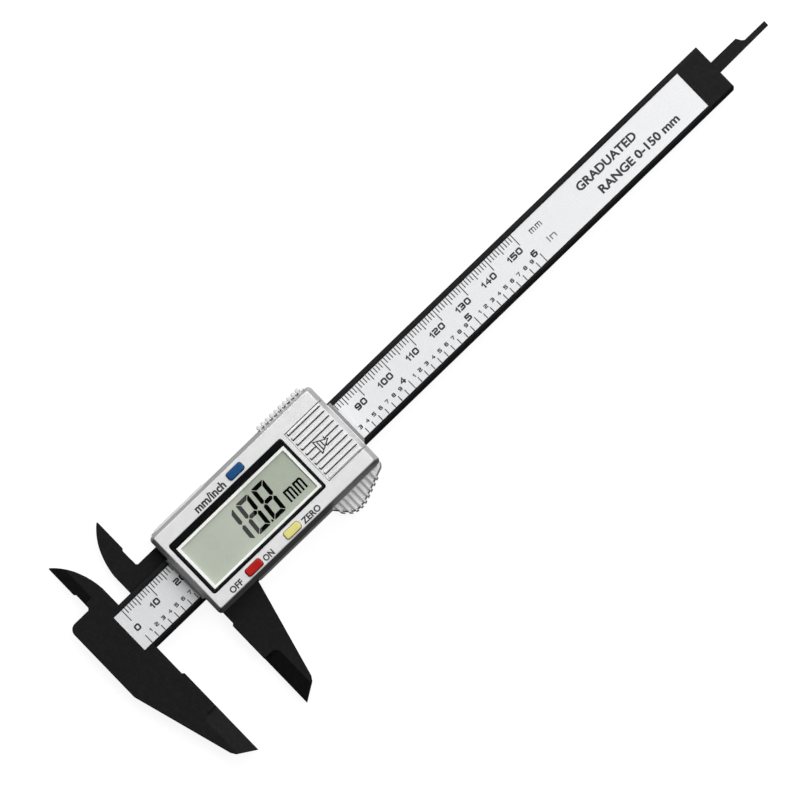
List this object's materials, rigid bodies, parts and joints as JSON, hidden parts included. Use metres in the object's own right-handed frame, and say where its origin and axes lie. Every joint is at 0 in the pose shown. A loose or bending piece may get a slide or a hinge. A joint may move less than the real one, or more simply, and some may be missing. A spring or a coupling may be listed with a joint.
{
  "type": "digital caliper",
  "caption": "Plastic digital caliper with a black beam and jaws, printed scale, silver slider with display, buttons, sliding battery cover and depth rod.",
  "frame": {"origin": "on the fixed outside jaw's measuring face, half way up the jaw's thickness and at the middle of the face's full-thickness stretch", "axes": "+X along the beam, out of the fixed measuring face towards the depth rod's end; +Y across the beam towards the inside jaws; +Z out of the front, towards the display"},
  "size_m": [0.2564, 0.0767, 0.0149],
  "materials": {
    "black_composite": "fine-grained fibre-filled black plastic, satin",
    "circuit_board": "green solder mask on glass-fibre board",
    "scale_foil": "silver-grey printed film, satin",
    "steel": "plated steel, satin",
    "spring_bronze": "rolled bronze strip",
    "rear_label_film": "silver-grey printed film",
    "silver_paint": "moulded plastic with silver paint, satin with fine flake",
    "gloss_black": "gloss black moulded plastic",
    "clear_window": "clear acrylic",
    "white_plastic": "white moulded plastic",
    "lcd_glass": "sage grey display glass",
    "reflector_film": "grey reflector film",
    "connector_rubber": "pale silicone with a carbon core",
    "black_resin": "cured black resin",
    "ceramic_parts": "fired ceramic",
    "cell_steel": "nickel-plated steel",
    "dark_grey_plastic": "dark grey moulded plastic",
    "contact_metal": "nickel-plated spring strip",
    "blue_button": "blue moulded plastic, satin",
    "red_button": "red moulded plastic, satin",
    "yellow_button": "pale yellow moulded plastic, satin"
  },
  "bodies": {
    "beam": {"main_beam": "black_composite", "scale_circuit_strip": "circuit_board", "scale_label": "scale_foil", "end_stop_plate": "steel", "end_stop_screws": "steel"},
    "slider": {"slider_frame": "black_composite", "gib_spring": "spring_bronze", "depth_rod": "black_composite", "depth_rod_screws": "steel", "rear_label": "rear_label_film", "case_screws": "steel", "front_housing": "silver_paint", "display_bezel": "gloss_black", "display_window": "clear_window", "lcd_holder": "white_plastic", "lcd_panel": "lcd_glass", "lcd_reflector": "reflector_film", "zebra_strips": "connector_rubber", "main_circuit_board": "circuit_board", "controller_chip": "black_resin", "board_components": "ceramic_parts", "switch_domes": "steel", "circuit_board_screws": "steel", "button_cell": "cell_steel", "battery_tray": "dark_grey_plastic", "battery_contact_negative": "contact_metal", "battery_contact_positive": "contact_metal"},
    "mm_inch_button": {"mm_inch_button": "blue_button"},
    "power_button": {"power_button": "red_button"},
    "zero_button": {"zero_button": "yellow_button"},
    "battery_cover": {"battery_cover": "silver_paint"}
  },
  "joints": [
    {"name": "slider_travel", "type": "slide", "parent": "beam", "child": "slider", "axis": [1, 0, 0], "range_m": [-0.01878, 0.1352]},
    {"name": "mm_inch_button_press", "type": "slide", "parent": "slider", "child": "mm_inch_button", "axis": [0, 0, -1], "range_m": [0, 0.00035], "stiffness_N_per_m": 500},
    {"name": "power_button_press", "type": "slide", "parent": "slider", "child": "power_button", "axis": [0, 0, -1], "range_m": [0, 0.00035], "stiffness_N_per_m": 500},
    {"name": "zero_button_press", "type": "slide", "parent": "slider", "child": "zero_button", "axis": [0, 0, -1], "range_m": [0, 0.00035], "stiffness_N_per_m": 500},
    {"name": "battery_cover_slide", "type": "slide", "parent": "slider", "child": "battery_cover", "axis": [1, 0, 0], "range_m": [0, 0.014]}
  ]
}
